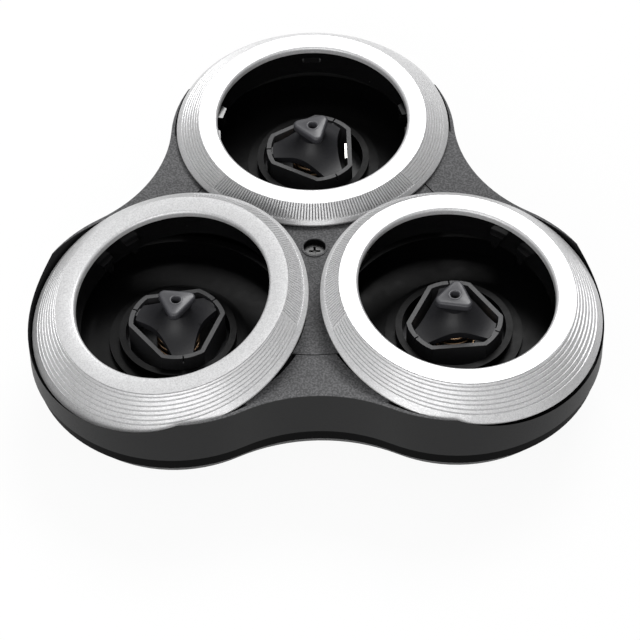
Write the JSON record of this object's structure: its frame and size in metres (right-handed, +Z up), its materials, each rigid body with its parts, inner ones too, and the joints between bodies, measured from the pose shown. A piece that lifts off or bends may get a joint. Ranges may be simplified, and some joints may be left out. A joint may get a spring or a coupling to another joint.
{
  "type": "rotary shaver head",
  "caption": "Black head of a rotary shaver with silver rocking rings, hair cups, sprung drive spindles and a geared drive, with open units that take the cutters.",
  "frame": {"origin": "on the drive axis, in the plane of the coupling neck's lower face", "axes": "+Z up along the drive axis and out of the shaving side, +Y towards the back unit, +X to the right"},
  "size_m": [0.07, 0.0655, 0.0213],
  "materials": {
    "housing_black": "smooth moulded black plastic, slightly satin",
    "chamber_black": "glossy moulded black plastic",
    "frame_grey": "dark grey plastic, fine spark-eroded texture on top",
    "screw_dark": "blackened steel screw",
    "screw_steel": "plain steel screws",
    "gear_white": "natural acetal",
    "pin_steel": "ground steel pins",
    "ring_silver": "satin silver paint with fine sparkle",
    "carrier_black": "glossy moulded black plastic",
    "clip_steel": "bright spring steel",
    "collar_grey": "dark grey moulded plastic",
    "spindle_grey": "dark bluish grey moulded plastic",
    "spring_copper": "coppery spring wire"
  },
  "bodies": {
    "head": {"base_shell": "housing_black", "chamber_body": "chamber_black", "outer_frame": "frame_grey", "centre_bracket": "frame_grey", "centre_screw": "screw_dark", "cover_screws": "screw_steel", "axle_pins": "pin_steel"},
    "drive": {"central_gear": "gear_white"},
    "left_unit": {"left_silver_ring": "ring_silver", "left_cutter_carrier": "carrier_black", "left_retainer_clip": "clip_steel"},
    "left_gear": {"left_drive_gear": "collar_grey", "left_drive_strip": "clip_steel", "left_spindle_spring": "spring_copper"},
    "left_coupler": {"left_spindle": "spindle_grey"},
    "right_unit": {"right_silver_ring": "ring_silver", "right_cutter_carrier": "carrier_black", "right_retainer_clip": "clip_steel"},
    "right_gear": {"right_drive_gear": "collar_grey", "right_drive_strip": "clip_steel", "right_spindle_spring": "spring_copper"},
    "right_coupler": {"right_spindle": "spindle_grey"},
    "top_unit": {"top_silver_ring": "ring_silver", "top_cutter_carrier": "carrier_black", "top_retainer_clip": "clip_steel"},
    "top_gear": {"top_drive_gear": "collar_grey", "top_drive_strip": "clip_steel", "top_spindle_spring": "spring_copper"},
    "top_coupler": {"top_spindle": "spindle_grey"}
  },
  "joints": [
    {"name": "drive_spin", "type": "hinge", "parent": "head", "child": "drive", "pos_m": [0, 0, 0.0078], "axis": [0, 0, 1], "continuous": true},
    {"name": "left_tilt", "type": "hinge", "parent": "head", "child": "left_unit", "pos_m": [-0.0168, -0.0097, 0.0156], "axis": [0.5, -0.866, 0], "range_deg": [-15.6, 1.3]},
    {"name": "left_gear_spin", "type": "hinge", "parent": "head", "child": "left_gear", "pos_m": [-0.0168, -0.0097, 0.0078], "axis": [0, 0, 1], "continuous": true},
    {"name": "left_plunge", "type": "slide", "parent": "left_gear", "child": "left_coupler", "axis": [0, 0, 1], "range_m": [-0.0012, 0], "stiffness_N_per_m": 250, "springref_m": 0.0012, "deforming": ["left_spindle_spring"]},
    {"name": "right_tilt", "type": "hinge", "parent": "head", "child": "right_unit", "pos_m": [0.0168, -0.0097, 0.0156], "axis": [0.5, 0.866, 0], "range_deg": [-10.6, 6.3]},
    {"name": "right_gear_spin", "type": "hinge", "parent": "head", "child": "right_gear", "pos_m": [0.0168, -0.0097, 0.0078], "axis": [0, 0, 1], "continuous": true},
    {"name": "right_plunge", "type": "slide", "parent": "right_gear", "child": "right_coupler", "axis": [0, 0, 1], "range_m": [-0.0012, 0], "stiffness_N_per_m": 250, "springref_m": 0.0012, "deforming": ["right_spindle_spring"]},
    {"name": "top_tilt", "type": "hinge", "parent": "head", "child": "top_unit", "pos_m": [0, 0.0194, 0.0156], "axis": [-1, 0, 0], "range_deg": [-0.9, 16]},
    {"name": "top_gear_spin", "type": "hinge", "parent": "head", "child": "top_gear", "pos_m": [0, 0.0194, 0.0078], "axis": [0, 0, 1], "continuous": true},
    {"name": "top_plunge", "type": "slide", "parent": "top_gear", "child": "top_coupler", "axis": [0, 0, 1], "range_m": [-0.0012, 0], "stiffness_N_per_m": 250, "springref_m": 0.0012, "deforming": ["top_spindle_spring"]}
  ],
  "couplings": [
    {"joint": "left_gear_spin", "follows": "drive_spin", "ratio": -0.75},
    {"joint": "right_gear_spin", "follows": "drive_spin", "ratio": -0.75},
    {"joint": "top_gear_spin", "follows": "drive_spin", "ratio": -0.75}
  ]
}
